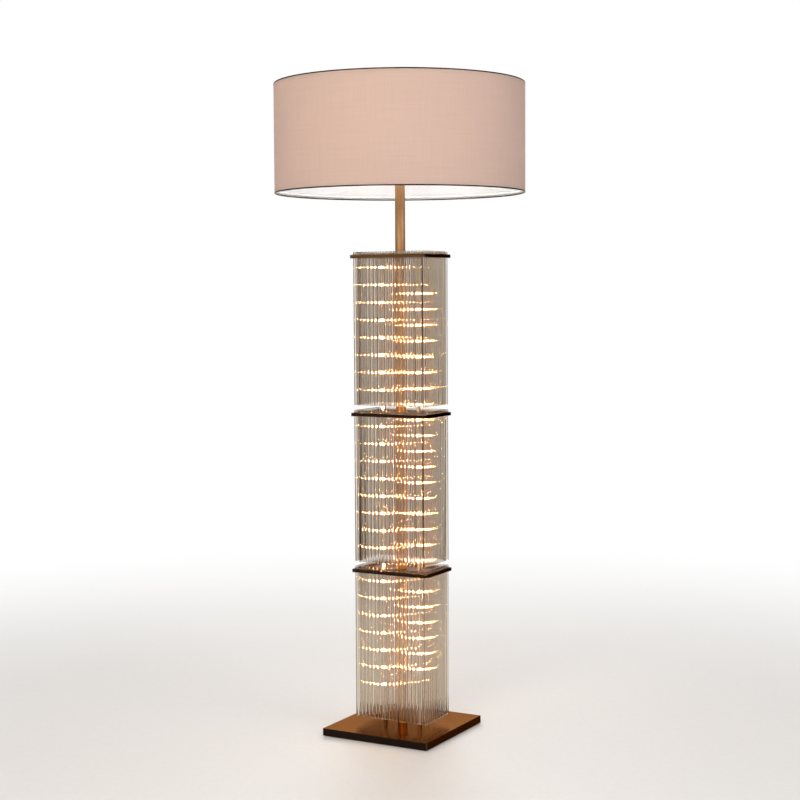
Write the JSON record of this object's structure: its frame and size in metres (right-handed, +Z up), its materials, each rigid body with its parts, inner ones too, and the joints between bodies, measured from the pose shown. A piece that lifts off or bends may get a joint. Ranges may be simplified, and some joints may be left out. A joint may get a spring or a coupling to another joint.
{
  "type": "column floor lamp",
  "caption": "Floor lamp with a wide drum shade on a brass stem, over a tiered column of clear glass rods lit from inside, on a square bronze base.",
  "frame": {"origin": "on the floor, under the middle of the square base", "axes": "+Z up the column, +X along the column's long side, front of the lamp towards -Y"},
  "size_m": [0.65, 0.6498, 1.692],
  "materials": {
    "bronze_plate": "antique bronze, brushed and lacquered",
    "satin_brass": "satin brass, lacquered",
    "zinc_steel": "bright zinc plated",
    "clear_glass": "clear, fire-polished",
    "clear_silicone": "clear moulded",
    "black_felt": "pressed wool felt",
    "black_plastic": "moulded",
    "white_plastic": "moulded",
    "white_enamel": "white powder coat on steel",
    "warm_led": "phosphor under clear resin, lit",
    "nickel_cap": "nickel plated",
    "opal_globe": "opal polycarbonate, lit",
    "shade_fabric": "plain woven cotton and linen",
    "shade_lining": "white styrene sheet",
    "dark_trim": "dark bronze edging"
  },
  "bodies": {
    "lamp": {"base_felt": "black_felt", "base_plate": "bronze_plate", "base_cover": "zinc_steel", "cover_screws": "zinc_steel", "cord_gland": "black_plastic", "led_driver": "white_plastic", "terminal_block": "white_plastic", "base_washer": "zinc_steel", "base_nut": "zinc_steel", "tie_rod": "zinc_steel", "lamp_cable": "white_plastic", "led_leads": "white_plastic", "column_tube_lower": "satin_brass", "column_tube_middle": "satin_brass", "column_tube_upper": "satin_brass", "stem_tube": "satin_brass", "tube_plugs": "zinc_steel", "plate_lower": "bronze_plate", "plate_middle": "bronze_plate", "plate_top": "bronze_plate", "rods_front_lower": "clear_glass", "rods_back_lower": "clear_glass", "rods_left_lower": "clear_glass", "rods_right_lower": "clear_glass", "rods_front_middle": "clear_glass", "rods_back_middle": "clear_glass", "rods_left_middle": "clear_glass", "rods_right_middle": "clear_glass", "rods_front_upper": "clear_glass", "rods_back_upper": "clear_glass", "rods_left_upper": "clear_glass", "rods_right_upper": "clear_glass", "rod_rings_lower": "clear_silicone", "rod_rings_middle": "clear_silicone", "rod_rings_upper": "clear_silicone", "led_stick_left": "satin_brass", "led_stick_right": "satin_brass", "stick_feet": "satin_brass", "leds_left": "warm_led", "leds_right": "warm_led", "lamp_carrier": "bronze_plate", "lampholders": "black_plastic", "holder_shells": "satin_brass", "holder_contacts": "satin_brass", "holder_screws": "zinc_steel", "riser": "satin_brass"},
    "shade": {"spider_hub": "white_enamel", "spider_arms": "white_enamel", "shade_rings": "white_enamel", "shade_fabric": "shade_fabric", "shade_lining": "shade_lining", "shade_trims": "dark_trim"},
    "finial": {"finial": "satin_brass"},
    "bulb_a": {"bulb_cap_a": "nickel_cap", "bulb_globe_a": "opal_globe"},
    "bulb_b": {"bulb_cap_b": "nickel_cap", "bulb_globe_b": "opal_globe"},
    "bulb_c": {"bulb_cap_c": "nickel_cap", "bulb_globe_c": "opal_globe"}
  },
  "joints": [
    {"name": "shade_turn", "type": "hinge", "parent": "lamp", "child": "shade", "pos_m": [0, 0, 1.66], "axis": [0, 0, 1], "continuous": true},
    {"name": "finial_turn", "type": "hinge", "parent": "lamp", "child": "finial", "pos_m": [0, 0, 1.662], "axis": [0, 0, 1], "continuous": true},
    {"name": "bulb_a_turn", "type": "hinge", "parent": "lamp", "child": "bulb_a", "pos_m": [0, 0.046, 1.53], "axis": [0, 0, 1], "range_deg": [0, 1080]},
    {"name": "bulb_b_turn", "type": "hinge", "parent": "lamp", "child": "bulb_b", "pos_m": [-0.03984, -0.023, 1.53], "axis": [0, 0, 1], "range_deg": [0, 1080]},
    {"name": "bulb_c_turn", "type": "hinge", "parent": "lamp", "child": "bulb_c", "pos_m": [0.03984, -0.023, 1.53], "axis": [0, 0, 1], "range_deg": [0, 1080]}
  ]
}
